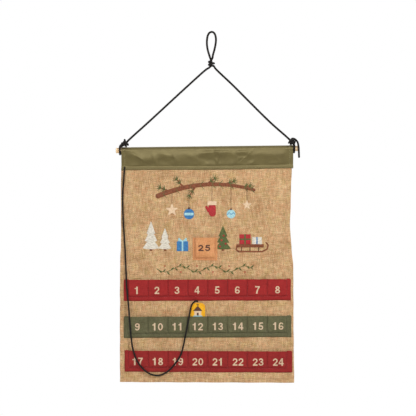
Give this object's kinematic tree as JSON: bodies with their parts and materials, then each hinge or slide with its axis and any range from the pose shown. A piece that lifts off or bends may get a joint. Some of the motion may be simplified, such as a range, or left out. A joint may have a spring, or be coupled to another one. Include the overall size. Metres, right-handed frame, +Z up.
{
  "type": "fabric advent calendar",
  "caption": "Cloth wall hanging on a wooden rod and cord, with rows of small numbered pockets and a felt day marker on a cord that moves from pocket to pocket.",
  "frame": {"origin": "inside of the top of the hanging loop, where a nail or hook bears", "axes": "+Z up, +Y into the wall, -Y the front that is looked at, +X to the right of someone looking at it"},
  "size_m": [0.4358, 0.0317, 0.8328],
  "materials": {
    "wood": "bare birch, fine sanded",
    "cord": "braided matte cord",
    "satin": "olive satin weave, soft sheen",
    "burlap": "natural burlap, open plain weave",
    "red_cloth": "red plain cloth, matte",
    "green_cloth": "olive green plain cloth, matte",
    "orange_cloth": "orange brown plain cloth, matte",
    "gold_felt": "gold felt, matte"
  },
  "bodies": {
    "hanger": {"dowel_rod": "wood", "hanger_cord": "cord"},
    "banner": {"rod_sleeve": "satin", "banner_panel": "burlap", "pocket_strip_top": "red_cloth", "pocket_strip_middle": "green_cloth", "pocket_strip_bottom": "red_cloth", "last_day_pocket": "orange_cloth", "marker_cord": "cord"},
    "marker": {"marker_back_felt": "gold_felt", "marker_front_felt": "gold_felt"}
  },
  "joints": [
    {"name": "banner_swing", "type": "hinge", "parent": "hanger", "child": "banner", "pos_m": [-0.0119, 0, -0.2764], "axis": [-0.9999, 0, -0.0116], "range_deg": [0, 90]},
    {"name": "marker_lift", "type": "slide", "parent": "banner", "child": "marker", "axis": [0, -0.0872, 0.9962], "range_m": [0, 0.045], "deforming": ["marker_cord"]}
  ]
}
